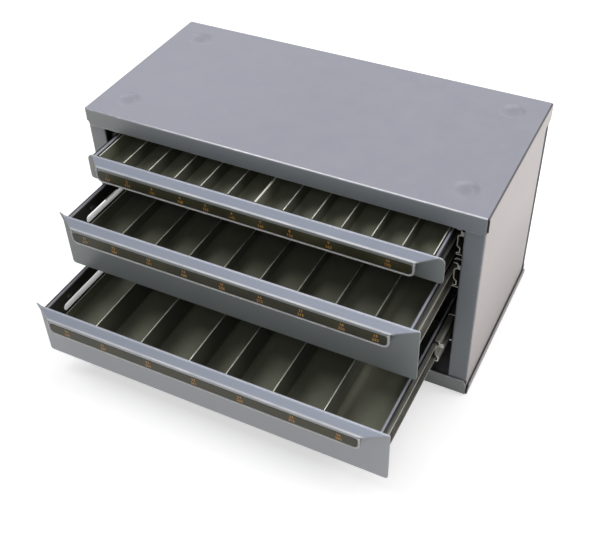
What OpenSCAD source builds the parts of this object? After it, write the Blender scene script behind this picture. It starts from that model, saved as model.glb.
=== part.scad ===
// Three-drawer bench dispenser for reamers.
// Sheet-steel cabinet, three trays with scooped inserts, and telescopic ball slides.
// Origin: middle of the footprint, on the surface that the cabinet stands on.
// +X is the viewer's right, -Y is the front, +Z is up.
// The drawers are modelled pulled out in a cascade, the lowest one furthest.

/* [Cabinet] */
// Overall width of the cabinet
cabinet_w = 406; // [380:1:460]
// Overall depth of the cabinet without drawers
cabinet_d = 196; // [194:1:240]
// Overall height of the cabinet
cabinet_h = 218; // [210:1:260]
// Thickness of the cabinet sheet
sheet = 1.2; // [0.9:0.1:1.5]
// Inner radius of the bends in the cabinet sheet
bend_r = 0.7; // [0.4:0.1:1.2]
// Height of the flange round the top cover
header_h = 18; // [14:1:20]
// Height of the bottom pan's front and rear flanges
plinth_h = 18.5; // [14:0.5:20]
// Height of the bottom pan's side flanges
plinth_side_h = 9; // [8:0.5:20]
// How far the bottom pan's side flanges stand out beyond the top cover's
pan_spread = 0.8; // [0:0.1:1.5]
// Width of the front posts beside the drawers
post_w = 20.4; // [20:0.1:24]
// Depth of the return on the inner edge of a front post
post_return = 5; // [3:0.5:8]
// Width of each leg of a side panel's stepped rear return
rear_return = 8; // [4:1:9]
// Width of the groove between a side panel and the back
rear_groove = 5; // [3:0.5:6]
// Gap between shells that lap over each other
lap_gap = 0.2; // [0.1:0.05:0.4]
// Width of the cut on the free corners of the flanges
flange_cut_w = 3; // [1:0.5:5]
// Height of the cut on the free corners of the flanges
flange_cut_h = 6.5; // [3:0.5:8]

/* [Pressed recesses] */
// Diameter of the round recesses pressed into the top cover and the bottom pan
recess_d = 25; // [18:1:34]
// Depth of the recesses
recess_depth = 1.5; // [0.8:0.1:2]
// Width of the slope round the foot of a recess
recess_slope = 4; // [1.5:0.5:6]
// Distance of each recess's centre from the cabinet's edges
recess_inset = 31; // [24:1:40]

/* [Drawers] */
// Distance of the top drawer's upper edge below the cabinet's top
top_drawer_drop = 25.5; // [25:0.5:30]
// Height of the middle drawer's upper edge below the top drawer's
drawer_pitch = 38; // [36:0.5:42]
// Height of the bottom drawer's upper edge as a share of the middle drawer's
bottom_drawer_share = 0.5566; // [0.5:0.0001:0.6]
// Gap under each drawer's front panel
gap_below = [11, 10.5, 9.5];
// How far each drawer is pulled out
pulled_out = [33.5, 83.5, 140];
// Number of compartments in each drawer
compartments = [12, 9, 7];
// Clearance between a drawer's front panel and the posts
front_gap = 3.5; // [2.5:0.1:4]
// Thickness of the drawer sheet
tray_sheet = 1; // [0.8:0.1:1.2]
// Distance of the slide supports outside the edge of the front opening
support_setback = 0.5; // [0:0.1:1]
// Depth of a drawer from its front panel to its back, outside
tray_d = 183; // [176:1:184]
// Height of each tray's floor above the foot of its front panel
tray_rise = [3, 15.0053, 14.9947];
// Width of the flange along the top of a tray's side
tray_flange = 3.2; // [2.4:0.1:3.4]

/* [Front panels] */
// How far the lip stands out from the front panel, and how far it drops
lip = 6.7; // [5:0.1:8]
// Height of the flap that carries the label
flap_h = 15.8; // [14:0.2:17]
// Distance of the flap's left end from the front panel's left edge
flap_left_margin = 13.1; // [13:0.1:28]
// Distance of the flap's right end from the front panel's right edge
flap_right_margin = 23.1; // [13:0.1:28]
// How far the pointed tips stand out at the left corners of the two deep drawers' lips
tip_out = 3; // [1:0.1:3]
// How far the tips rise above the panel
tip_rise = 2.6; // [1:0.1:3]
// Radius of the flap's lower corners
flap_corner_r = 6; // [3:0.5:8]
// Width of the bead round the label strip
rim_w = 1.8; // [1.2:0.1:2.2]
// How far the bead stands out from the flap
rim_out = 0.8; // [0.5:0.1:1]
// Height of the label strip
label_h = 10.4; // [8:0.2:11]
// Border of the flap round the label strip
label_border = 2.4; // [2:0.1:3]
// Radius of the label strip's upper corners
label_top_r = 2.4; // [0.5:0.1:3]
// Thickness of the label strip
label_t = 0.4; // [0.2:0.1:0.6]

/* [Inserts] */
// Distance of the shallow drawer's divider edges below its top edge
shallow_divider_drop = 1; // [0.5:0.5:4]
// Height of the middle drawer's dividers
middle_divider_h = 19.5; // [16:0.5:22]
// Distance of the bottom drawer's divider edges below its top edge
bottom_divider_drop = 5.6; // [4:0.2:10]
// Thickness of a divider
divider_t = 0.9; // [0.7:0.1:1.2]
// Thickness of an insert's floor
insert_floor = 1.2; // [0.8:0.1:2]
// Radius of the scoops at the foot of each compartment
scoop_r = 9; // [5:0.5:11]
// Height of the walls at the two ends of a deep insert
insert_wall_h = 19; // [14:0.5:22]
// Clearance round an insert inside its tray
insert_gap = 1.2; // [1:0.1:1.6]

/* [Slides] */
// Space for one slide between the tray and the slide support
slide_space = 12.7; // [12.7:0.1:13.5]
// Thickness of the slide members
slide_t = 1.1; // [0.9:0.05:1.1]
// Diameter of the bearing balls
ball_d = 2.4; // [2.2:0.05:2.4]
// Clearance between a ball and the members it rolls between
ball_gap = 0.075; // [0.05:0.005:0.1]
// Travel of a drawer along its middle members
inner_travel = 108; // [108:1:110]
// Travel of the middle members out of the cabinet
outer_travel = 70; // [60:1:74]
// How far the bottom drawer's middle members are drawn out
bottom_middle_out = 32; // [20:1:40]
// Length of the cabinet members and the drawer members
member_len = 170; // [164:1:172]
// Length of the middle members
middle_len = 160; // [150:1:162]
// Distance of the middle members behind the cabinet's front when closed
middle_setback = 10; // [9:0.5:11]
// Distance of the slide's middle below the drawer's top edge
slide_drop = 14.2; // [14.1:0.1:15]

/* [Hidden] */
$fn = 48;
EPS = 0.01;

// Colours
steel_grey = [0.45, 0.47, 0.49];
top_grey = [0.60, 0.61, 0.65];
zinc = [0.70, 0.70, 0.68];
dark_grey = [0.16, 0.16, 0.14];
edge_metal = [0.80, 0.80, 0.74];
label_brown = [0.26, 0.22, 0.11];
nylon = [0.85, 0.84, 0.78];

// Cabinet planes
front_y = -cabinet_d / 2;
back_y = cabinet_d / 2;
shell_in = sheet + lap_gap;
side_x = cabinet_w / 2 - shell_in;
base_z = sheet;
roof_z = cabinet_h - sheet;
panel_foot_z = sheet + bend_r;
panel_head_z = cabinet_h - sheet - bend_r;
support_foot_z = base_z + recess_depth + lap_gap;
support_head_z = roof_z - recess_depth - lap_gap;
open_half_w = cabinet_w / 2 - post_w;
front_half_w = open_half_w - front_gap;
post_y = front_y + shell_in;
rear_y = back_y - shell_in;

// Heights of the drawers' upper edges and of their front panels
middle_drawer_top = cabinet_h - top_drawer_drop - drawer_pitch;
drawer_top = [cabinet_h - top_drawer_drop, middle_drawer_top, bottom_drawer_share * middle_drawer_top];
front_foot = [drawer_top[1] + gap_below[0], drawer_top[2] + gap_below[1], plinth_h + gap_below[2]];

// Tray planes
tray_out_x = open_half_w + support_setback - slide_space;
tray_half_w = tray_out_x - tray_sheet;
flap_left = front_half_w - flap_left_margin;
flap_right = front_half_w - flap_right_margin;
tray_h = [for (i = [0:2]) drawer_top[i] - front_foot[i] - tray_rise[i]];
tray_bend_r = 0.6;
hem = 6;
front_corner_r = [5.5, 1.2, 1.2];
front_foot_r = 3;

// Side slots of the deep trays, measured from the front panel and the drawer's top edge
slot_start = 20;
slot_len = 120;
slot_h = 7.6;
slot_drop = 17.6;

// Partitions: shares of the row of compartments where each divider of the bottom drawer stands
bottom_divider_shares = [0.148, 0.296, 0.450, 0.562, 0.702, 0.847];

// Slide section, from the tray's side outwards and from the slide's middle upwards
inner_flange_z = 9.7;
middle_flange_z = inner_flange_z + ball_d + 2 * ball_gap + slide_t;
outer_flange_z = middle_flange_z + ball_d + 2 * ball_gap + slide_t;
inner_ball_z = inner_flange_z + ball_gap + ball_d / 2;
outer_ball_z = middle_flange_z + ball_gap + ball_d / 2;
inner_flange_x = 5.8;
middle_web_x = 5;
middle_bulge_x = 7.8;
middle_tip_x = 3.5;
middle_web_half_h = 5.2;
middle_bulge_z = 7.7;
outer_tip_x = 4.2;
outer_lip = 1.1;
inner_ball_x = 4.9;
outer_ball_x = 6.1;
cage_t = 0.4;
inner_cage_x = 3.1;
inner_cage_bulge_x = 6.5;
inner_cage_web_half_h = 6.2;
inner_cage_bulge_z = 8.4;
inner_cage_tip_x = 3.6;
outer_cage_x = 9;
outer_cage_tip_x = 5;
slide_bend_r = 0.5;
cage_bend_r = 0.1;
pocket_gap = 0.15;
inner_cage_len = 50;
inner_cage_start = 57;
outer_cage_len = 70;
outer_cage_start = 47;
inner_balls = 6;
outer_balls = 8;
stop_tab_h = 5;
stop_tab_w = 4.1;
member_start = 4;
cabinet_member_start = 12;

// Rivets
rivet_d = 3.2;
rivet_head_d = 5.4;
rivet_head_t = 0.6;
rivet_end_share = 0.16;
rivet_rise = 4.5;

// How far each pair of middle members is drawn out
middle_out = [0, 0, bottom_middle_out];

// Bent sheet from a centre line

function unit(v) = v / norm(v);
function left_of(d) = [-d.y, d.x];
function turn(a, b) = atan2(a.x * b.y - a.y * b.x, a.x * b.x + a.y * b.y);
bend_step = 23;

// Points of one bend: p is the centre line, side the offset of this face, r the centre line's radius
function bend(p, i, side, r) =
    let (
        a = unit(p[i] - p[i - 1]),
        b = unit(p[i + 1] - p[i]),
        angle = turn(a, b),
        way = sign(angle),
        centre = p[i] - a * r * tan(abs(angle) / 2) + left_of(a) * way * r,
        start = atan2(-way * left_of(a).y, -way * left_of(a).x),
        steps = ceil(abs(angle) / bend_step)
    )
    [for (k = [0:steps])
        centre + (r - way * side) * [cos(start + angle * k / steps), sin(start + angle * k / steps)]];

// One face of the sheet
function face(p, side, r) =
    let (n = len(p) - 1)
    concat(
        [p[0] + left_of(unit(p[1] - p[0])) * side],
        [for (i = [1:1:n - 1]) each bend(p, i, side, r)],
        [p[n] + left_of(unit(p[n] - p[n - 1])) * side]
    );

function backwards(p) = [for (i = [len(p) - 1:-1:0]) p[i]];

// Flat outline of a bent sheet of thickness t and inner bend radius r
module bent_sheet(p, t, r) {
    polygon(concat(face(p, t / 2, r + t / 2), backwards(face(p, -t / 2, r + t / 2))));
}

// A centre line mirrored about y = 0, joined to itself
function both_ways(p) = concat([for (q = backwards(p)) [q.x, -q.y]], p);

// Extrusions along the axes: an outline in (y, z) along X, in (x, z) along Y
module along_x(x0, x1) translate([x0, 0, 0]) rotate([90, 0, 90]) linear_extrude(x1 - x0) children();
module along_y(y0, y1) translate([0, y1, 0]) rotate([90, 0, 0]) linear_extrude(y1 - y0) children();
module along_z(z0, z1) translate([0, 0, z0]) linear_extrude(z1 - z0) children();

// The same piece on the left side
module on_side(right) {
    if (right) children();
    else mirror([1, 0, 0]) children();
}

module at_corners(x, y) {
    for (sx = [-1, 1], sy = [-1, 1]) translate([sx * x, sy * y, 0]) children();
}

// Cabinet

// A round recess pressed down into a plate whose upper face is at z = 0
module recess(t) {
    rotate_extrude() bent_sheet(
        [[recess_d / 2 + t, -t / 2], [recess_d / 2, -t / 2],
         [recess_d / 2 - recess_slope, -recess_depth - t / 2], [0, -recess_depth - t / 2]],
        t, t);
}

// A shallow pan with four flanges down and its plate's upper face at z = 0
module pan(half_w, flange, side_flange) {
    relief = bend_r + sheet;
    hx = half_w - sheet / 2;
    hy = cabinet_d / 2 - sheet / 2;
    top = -sheet / 2;
    difference() {
        union() {
            along_x(-half_w + relief, half_w - relief)
                bent_sheet([[-hy, -flange], [-hy, top], [hy, top], [hy, -flange]], sheet, bend_r);
            along_y(front_y + relief, back_y - relief)
                bent_sheet([[-hx, -side_flange], [-hx, top], [hx, top], [hx, -side_flange]], sheet, bend_r);
        }
        at_corners(cabinet_w / 2 - recess_inset, cabinet_d / 2 - recess_inset)
            translate([0, 0, -sheet - EPS]) cylinder(d = recess_d + sheet, h = sheet + 2 * EPS);
        for (mx = [0, 1], my = [0, 1]) mirror([mx, 0, 0]) mirror([0, my, 0]) {
            along_y(back_y - sheet - EPS, back_y + EPS)
                corner_cut(half_w - relief + EPS, -flange - EPS, flange_cut_w, flange_cut_h);
            along_x(half_w - sheet - EPS, half_w + EPS)
                corner_cut(back_y - relief + EPS, -side_flange - EPS, flange_cut_w, flange_cut_w);
        }
    }
    at_corners(cabinet_w / 2 - recess_inset, cabinet_d / 2 - recess_inset) recess(sheet);
}

// Outline of the cut at a corner whose end is at x and whose foot is at z
module corner_cut(x, z, w, h) {
    polygon([[x, z], [x, z + h], [x - w, z]]);
}

module top_cover() {
    color(top_grey) translate([0, 0, cabinet_h]) pan(cabinet_w / 2, header_h, header_h);
}

// The bottom pan is pressed like the top cover and stands upside down
module bottom_pan() {
    color(steel_grey) mirror([0, 0, 1]) pan(cabinet_w / 2 + pan_spread, plinth_h, plinth_side_h);
}

// A side panel is one sheet: front post with its return, side, and a stepped return that meets the back
module side_panel() {
    x = side_x - sheet / 2;
    seat_y = rear_y - sheet - lap_gap - sheet / 2;
    line = [
        [open_half_w + sheet / 2, post_y + post_return],
        [open_half_w + sheet / 2, post_y + sheet / 2],
        [x, post_y + sheet / 2],
        [x, seat_y - rear_groove],
        [x - rear_return, seat_y - rear_groove],
        [x - rear_return, seat_y],
        [x - 2 * rear_return, seat_y]
    ];
    along_z(panel_foot_z, panel_head_z) bent_sheet(line, sheet, bend_r);
}

module side_panel_left() {
    color(steel_grey) on_side(false) side_panel();
}

module side_panel_right() {
    color(steel_grey) on_side(true) side_panel();
}

// The back is a flat sheet behind the side panels' returns
module back_panel() {
    color(steel_grey) along_y(rear_y - sheet, rear_y)
        plate(-side_x, side_x, panel_foot_z, panel_head_z, bend_r, bend_r);
}

// Upright sheet that carries the slides of one side, with its edges turned out to the side panel
support_x = open_half_w + support_setback + sheet / 2;
support_front = front_y + cabinet_member_start;
support_back = support_front + member_len;

module slide_support() {
    out = side_x - sheet;
    difference() {
        along_z(support_foot_z, support_head_z) bent_sheet(
            [[out, support_front], [support_x, support_front], [support_x, support_back], [out, support_back]],
            sheet, bend_r);
        for (d = [0:2]) rivet_holes(support_x - sheet, 2 * sheet, d, cabinet_member_y);
    }
}

module slide_support_left() {
    color(steel_grey) on_side(false) slide_support();
}

module slide_support_right() {
    color(steel_grey) on_side(true) slide_support();
}

// Slides

function slide_z(d) = drawer_top[d] - slide_drop;
function rivet_z(d) = slide_z(d) + rivet_rise;

// Centre lines of the three members, upper half, from the slide's middle up
outer_line = [
    [slide_space - slide_t / 2, 0],
    [slide_space - slide_t / 2, outer_flange_z - slide_t / 2],
    [outer_tip_x, outer_flange_z - slide_t / 2],
    [outer_tip_x, outer_flange_z - slide_t - outer_lip]
];
middle_line = [
    [middle_web_x, 0],
    [middle_web_x, middle_web_half_h],
    [middle_bulge_x, middle_bulge_z],
    [middle_bulge_x, middle_flange_z - slide_t / 2],
    [middle_tip_x, middle_flange_z - slide_t / 2]
];
inner_line = [
    [slide_t / 2, 0],
    [slide_t / 2, inner_flange_z - slide_t / 2],
    [inner_flange_x, inner_flange_z - slide_t / 2]
];
outer_cage_line = [[outer_cage_x, 0], [outer_cage_x, outer_ball_z], [outer_cage_tip_x, outer_ball_z]];
inner_cage_line = [
    [inner_cage_x, 0],
    [inner_cage_x, inner_cage_web_half_h],
    [inner_cage_bulge_x, inner_cage_bulge_z],
    [inner_cage_bulge_x, inner_ball_z],
    [inner_cage_tip_x, inner_ball_z]
];

// The first two points of a doubled line lie on one straight, so the middle point is left out
function whole(line) = let (p = [for (i = [1:len(line) - 1]) line[i]]) both_ways(p);

// A member on the right side, running from y0 for its length
module member(line, t, r, d, y0, length) {
    translate([tray_out_x, 0, slide_z(d)]) along_y(y0, y0 + length) bent_sheet(whole(line), t, r);
}

// Rivet places along a member that starts at y0
function rivet_y(y0, length) = [y0 + length * rivet_end_share, y0 + length * (1 - rivet_end_share)];

// Cutters for the two rivets of a member that starts at y0, along X from x0
module rivet_holes(x0, length, d, y0) {
    for (y = rivet_y(y0, member_len))
        translate([x0, y, rivet_z(d)]) rotate([0, 90, 0]) cylinder(d = rivet_d, h = length);
}

cabinet_member_y = front_y + cabinet_member_start;
function middle_member_y(d) = front_y + middle_setback - middle_out[d];
function drawer_y(d) = front_y - pulled_out[d];
function drawer_member_y(d) = drawer_y(d) + member_start;

// Fixed to the support
module cabinet_member(d) {
    difference() {
        member(outer_line, slide_t, slide_bend_r, d, cabinet_member_y, member_len);
        rivet_holes(tray_out_x + slide_space / 2, slide_space, d, cabinet_member_y);
    }
}

// Runs between the other two, with a stop tab turned out at its front end
module middle_member(d) {
    y = middle_member_y(d);
    member(middle_line, slide_t, slide_bend_r, d, y, middle_len);
    tab_z = slide_z(d) + middle_flange_z - slide_t / 2 - slide_bend_r - slide_t - stop_tab_h;
    translate([tray_out_x + middle_bulge_x, y, tab_z]) cube([stop_tab_w, slide_t, stop_tab_h]);
}

// Fixed to the tray; the deep trays' side slot goes through it
module drawer_member(d) {
    difference() {
        member(inner_line, slide_t, slide_bend_r, d, drawer_member_y(d), member_len);
        rivet_holes(tray_half_w, slide_space / 2, d, drawer_member_y(d));
        if (d > 0) side_slot(d);
    }
}

module cage_of_balls(line, d, y0, length, count, ball_x, ball_z) {
    pitch = length / count;
    difference() {
        member(line, cage_t, cage_bend_r, d, y0, length);
        for (i = [0:count - 1], s = [-1, 1])
            translate([tray_out_x + ball_x, y0 + pitch * (i + 1 / 2), slide_z(d) + s * ball_z])
                cylinder(d = ball_d + 2 * pocket_gap, h = 2 * cage_t, center = true);
    }
    for (i = [0:count - 1], s = [-1, 1])
        translate([tray_out_x + ball_x, y0 + pitch * (i + 1 / 2), slide_z(d) + s * ball_z])
            sphere(d = ball_d);
}

module outer_cage(d) {
    cage_of_balls(outer_cage_line, d, front_y + outer_cage_start - middle_out[d] / 2,
        outer_cage_len, outer_balls, outer_ball_x, outer_ball_z);
}

module inner_cage(d) {
    shift = middle_out[d] + (pulled_out[d] - middle_out[d]) / 2;
    cage_of_balls(inner_cage_line, d, front_y + inner_cage_start + middle_setback - shift,
        inner_cage_len, inner_balls, inner_ball_x, inner_ball_z);
}

module cabinet_member_side(d, right) {
    color(zinc) on_side(right) cabinet_member(d);
}

module middle_member_side(d, right) {
    color(zinc) on_side(right) middle_member(d);
}

module drawer_member_side(d, right) {
    color(zinc) on_side(right) drawer_member(d);
}

module outer_ball_cage(d) {
    color(nylon) for (right = [false, true]) on_side(right) outer_cage(d);
}

module inner_ball_cage(d) {
    color(nylon) for (right = [false, true]) on_side(right) inner_cage(d);
}

// A flat-headed rivet along +X, from x0 to x1, with a head inside each end's face
module rivet(x0, x1) {
    rotate([0, 90, 0]) {
        translate([0, 0, x0 - rivet_head_t]) cylinder(d = rivet_head_d, h = rivet_head_t);
        translate([0, 0, x0 - EPS]) cylinder(d = rivet_d, h = x1 - x0 + 2 * EPS);
        translate([0, 0, x1]) cylinder(d = rivet_head_d, h = rivet_head_t);
    }
}

// Rivets that hold the cabinet members to the supports
module slide_rivets() {
    x0 = tray_out_x + slide_space - slide_t;
    color(zinc) for (right = [false, true], d = [0:2], y = rivet_y(cabinet_member_y, member_len))
        on_side(right) translate([0, y, rivet_z(d)]) rivet(x0, x0 + slide_t + sheet);
}

// Rivets that hold a drawer's members to its tray
module drawer_rivets(d) {
    color(zinc) for (right = [false, true], y = rivet_y(drawer_member_y(d), member_len))
        on_side(right) translate([0, y, rivet_z(d)]) rivet(tray_half_w, tray_out_x + slide_t);
}

// Drawers

// The long round-ended slot through a deep tray's side and the member outside it
module side_slot(d) {
    y0 = drawer_y(d) + slot_start + slot_h / 2;
    z = drawer_top[d] - slot_drop;
    translate([tray_half_w - tray_sheet, 0, 0]) {
        for (y = [y0, y0 + slot_len - slot_h])
            translate([0, y, z]) rotate([0, 90, 0]) cylinder(d = slot_h, h = 3 * tray_sheet + slide_t);
        translate([0, y0, z - slot_h / 2]) cube([3 * tray_sheet + slide_t, slot_len - slot_h, slot_h]);
    }
}

// Tray: sides and bottom in one sheet, with a turned-out top flange, and end walls between them
module drawer_tray(d) {
    x = tray_half_w + tray_sheet / 2;
    z0 = drawer_top[d] - tray_h[d] + tray_sheet / 2;
    z1 = drawer_top[d] - tray_sheet / 2;
    y0 = drawer_y(d) + sheet;
    y1 = drawer_y(d) + tray_d;
    edge = tray_out_x + tray_flange;
    color(steel_grey) difference() {
        union() {
            along_y(y0, y1) bent_sheet(
                [[-edge, z1], [-x, z1], [-x, z0], [x, z0], [x, z1], [edge, z1]], tray_sheet, tray_bend_r);
            for (y = [y0, y1 - tray_sheet]) along_y(y, y + tray_sheet) end_wall(d);
        }
        for (right = [false, true])
            on_side(right) rivet_holes(tray_half_w - tray_sheet, 3 * tray_sheet, d, drawer_member_y(d));
        if (d > 0) for (right = [false, true]) on_side(right) side_slot(d);
    }
}

// Outline of a tray's front or back wall
module end_wall(d) {
    h = tray_h[d] - tray_sheet;
    translate([-tray_half_w, drawer_top[d] - tray_h[d] + tray_sheet / 2])
        square([2 * tray_half_w, h - tray_sheet / 2]);
}

// Quarter round of an outline's corner
corner_steps = 6;
function corner(c, r, start) =
    [for (i = [0:corner_steps]) c + r * [cos(start + 90 * i / corner_steps), sin(start + 90 * i / corner_steps)]];

// Outline with different radii at its lower and upper corners
module plate(x0, x1, z0, z1, low_r, high_r) {
    polygon(concat(
        corner([x0 + low_r, z0 + low_r], low_r, 180),
        corner([x1 - low_r, z0 + low_r], low_r, 270),
        corner([x1 - high_r, z1 - high_r], high_r, 0),
        corner([x0 + high_r, z1 - high_r], high_r, 90)
    ));
}

// Front panel with its bottom hem, and the lip and flap folded out of its top edge
module drawer_front(d) {
    y = drawer_y(d);
    top = drawer_top[d];
    foot = front_foot[d];
    color(steel_grey) {
        along_y(y, y + sheet) plate(-front_half_w, front_half_w, foot, top, front_foot_r, front_corner_r[d]);
        along_x(-front_half_w + front_foot_r, front_half_w - front_foot_r)
            bent_sheet([[y + sheet / 2, foot + front_foot_r], [y + sheet / 2, foot + sheet / 2],
                        [y + hem, foot + sheet / 2]], sheet, bend_r);
        lip_and_flap(y, top, front_half_w - front_corner_r[d]);
        label_rim(y - lip - sheet / 2, top - lip);
        if (d > 0) along_y(y, y + sheet) polygon([
            [-front_half_w, top - 2 * tip_rise], [-front_half_w - tip_out, top + tip_rise],
            [-front_half_w + tip_out, top - sheet / 2]]);
    }
}

// Inner crease of the lip is at the top of the panel; the flap hangs from the outer crease
module lip_and_flap(y, top, lip_end) {
    crease_y = y - lip;
    low = top - lip - flap_h;
    intersection() {
        along_x(-front_half_w, front_half_w)
            bent_sheet([[y + sheet, top - sheet / 2], [y, top - sheet / 2], [crease_y, top - lip],
                        [crease_y, low]], sheet, bend_r / 2);
        along_y(crease_y - sheet, y + sheet)
            plate(-lip_end, lip_end, low - flap_h, top, EPS, EPS);
        along_z(low - sheet, top) polygon([
            [-flap_left, crease_y - sheet], [flap_right, crease_y - sheet],
            [flap_right, crease_y], [lip_end, y], [lip_end, y + sheet],
            [-lip_end, y + sheet], [-lip_end, y], [-flap_left, crease_y]]);
        union() {
            along_y(crease_y - sheet, y + sheet)
                plate(-flap_left, flap_right, low, top - lip, flap_corner_r, EPS);
            along_x(-cabinet_w, cabinet_w)
                polygon([[crease_y - sheet, top - lip - EPS], [y + 2 * sheet, top - lip - EPS],
                         [y + 2 * sheet, top + sheet], [crease_y - sheet, top + sheet]]);
        }
    }
}

// Bead round the label: two stacked outlines along the flap's ends and its lower edge
module label_rim(y, top) {
    steps = [[0, rim_out * 0.6, 0], [0, rim_out, rim_w * 0.22]];
    for (s = steps) along_y(y - s[1], y + sheet / 4) difference() {
        rim_outline(top, s[2], 0);
        rim_outline(top, rim_w - s[2], rim_w);
    }
}

// The flap's outline drawn in by an amount, and raised by another
module rim_outline(top, inset, rise) {
    plate(-flap_left + inset, flap_right - inset, top - flap_h + inset, top - sheet + rise,
        flap_corner_r - inset, EPS);
}

// Label strip on the face of the flap
module drawer_label(d) {
    y = drawer_y(d) - lip - sheet / 2;
    low = drawer_top[d] - lip - flap_h + label_border;
    color(label_brown) along_y(y - label_t, y)
        plate(-flap_left + label_border, flap_right - label_border, low, low + label_h,
            flap_corner_r - label_border, label_top_r);
}

// Inserts and dividers

function divider_drop(d) =
    [shallow_divider_drop, tray_h[1] - tray_sheet - middle_divider_h, bottom_divider_drop][d];
row_half_w = tray_half_w - insert_gap;
function insert_y0(d) = drawer_y(d) + sheet + tray_sheet + insert_gap;
function insert_y1(d) = drawer_y(d) + tray_d - tray_sheet - insert_gap;
function insert_z(d) = drawer_top[d] - tray_h[d] + tray_sheet;
function share_x(share) = -row_half_w + 2 * row_half_w * share;
function even_shares(n) = [for (i = [1:n - 1]) i / n];
function divider_shares(d) = d == 2 ? bottom_divider_shares : even_shares(compartments[d]);
// Walls between compartments, seen along Y, from share a to share b of the row
function bays(d) = let (s = concat([0], divider_shares(d), [1])) [for (i = [0:len(s) - 2]) [s[i], s[i + 1]]];

// One scooped bay between x0 and x1: a floor that curves up into both walls
module bay(x0, x1, r) {
    polygon(concat(
        [[x0, 0], [x1, 0], [x1, insert_floor + r]],
        [for (i = [1:corner_steps - 1])
            [x1 - r, insert_floor + r] + r * [cos(90 * i / corner_steps), -sin(90 * i / corner_steps)]],
        [[x1 - r, insert_floor], [x0 + r, insert_floor]],
        [for (i = [1:corner_steps - 1])
            [x0 + r, insert_floor + r] - r * [sin(90 * i / corner_steps), cos(90 * i / corner_steps)]],
        [[x0, insert_floor + r]]
    ));
}

// The top drawer's dividers stand in grooves; the deep drawers' stand on the tray between separate troughs
function divider_foot(d) = d == 0 ? insert_floor : 0;

// Scooped floor under the bays from number a to number b, with a wall at each end
module insert_shell(d, a, b, wall_h) {
    list = bays(d);
    x0 = share_x(list[a][0]) + (a > 0 ? EPS : 0);
    x1 = share_x(list[b][1]) - (b < len(list) - 1 ? EPS : 0);
    translate([0, 0, insert_z(d)]) along_y(insert_y0(d), insert_y1(d)) difference() {
        union() {
            for (i = [a:b]) bay(share_x(list[i][0]), share_x(list[i][1]), scoop_r);
            translate([x0, 0]) square([divider_t, wall_h]);
            translate([x1 - divider_t, 0]) square([divider_t, wall_h]);
        }
        for (i = [a:b - 1]) translate([share_x(list[i][1]) - divider_t / 2, divider_foot(d) - (d == 0 ? 0 : EPS)])
            square([divider_t, wall_h]);
    }
}

// The dividers between the bays from number a to number b
module partitions(d, a, b) {
    list = bays(d);
    top = drawer_top[d] - divider_drop(d) - insert_z(d);
    for (i = [a:b - 1])
        translate([0, 0, insert_z(d)]) along_y(insert_y0(d), insert_y1(d))
            translate([share_x(list[i][1]) - divider_t / 2, divider_foot(d)])
                square([divider_t, top - divider_foot(d)]);
}

module insert_of(d, a, b) {
    wall_h = d == 0 ? drawer_top[0] - divider_drop(0) - insert_z(0) : insert_wall_h;
    color(dark_grey) insert_shell(d, a, b, wall_h);
}

half_row = compartments[0] / 2;

module drawer_1_dividers() {
    color(edge_metal) {
        partitions(0, 0, half_row - 1);
        partitions(0, half_row, compartments[0] - 1);
    }
}

module drawer_dividers(d) {
    color(edge_metal) partitions(d, 0, compartments[d] - 1);
}

top_cover();
bottom_pan();
side_panel_left();
side_panel_right();
back_panel();
slide_support_left();
slide_support_right();
slide_rivets();
cabinet_member_side(0, false);  // cabinet_member_1_left
cabinet_member_side(0, true);  // cabinet_member_1_right
cabinet_member_side(1, false);  // cabinet_member_2_left
cabinet_member_side(1, true);  // cabinet_member_2_right
cabinet_member_side(2, false);  // cabinet_member_3_left
cabinet_member_side(2, true);  // cabinet_member_3_right
middle_member_side(0, false);  // middle_member_1_left
middle_member_side(0, true);  // middle_member_1_right
middle_member_side(1, false);  // middle_member_2_left
middle_member_side(1, true);  // middle_member_2_right
middle_member_side(2, false);  // middle_member_3_left
middle_member_side(2, true);  // middle_member_3_right
outer_ball_cage(0);  // outer_ball_cage_1
outer_ball_cage(1);  // outer_ball_cage_2
outer_ball_cage(2);  // outer_ball_cage_3
inner_ball_cage(0);  // inner_ball_cage_1
inner_ball_cage(1);  // inner_ball_cage_2
inner_ball_cage(2);  // inner_ball_cage_3
drawer_tray(0);  // drawer_1_tray
drawer_front(0);  // drawer_1_front
drawer_label(0);  // drawer_1_label
insert_of(0, 0, half_row - 1);  // drawer_1_insert_left
insert_of(0, half_row, compartments[0] - 1);  // drawer_1_insert_right
drawer_1_dividers();
drawer_member_side(0, false);  // drawer_1_member_left
drawer_member_side(0, true);  // drawer_1_member_right
drawer_rivets(0);  // drawer_1_rivets
drawer_tray(1);  // drawer_2_tray
drawer_front(1);  // drawer_2_front
drawer_label(1);  // drawer_2_label
insert_of(1, 0, compartments[1] - 1);  // drawer_2_insert
drawer_dividers(1);  // drawer_2_dividers
drawer_member_side(1, false);  // drawer_2_member_left
drawer_member_side(1, true);  // drawer_2_member_right
drawer_rivets(1);  // drawer_2_rivets
drawer_tray(2);  // drawer_3_tray
drawer_front(2);  // drawer_3_front
drawer_label(2);  // drawer_3_label
insert_of(2, 0, compartments[2] - 1);  // drawer_3_insert
drawer_dividers(2);  // drawer_3_dividers
drawer_member_side(2, false);  // drawer_3_member_left
drawer_member_side(2, true);  // drawer_3_member_right
drawer_rivets(2);  // drawer_3_rivets
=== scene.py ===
import math

import bpy
from mathutils import Matrix, Vector


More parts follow.
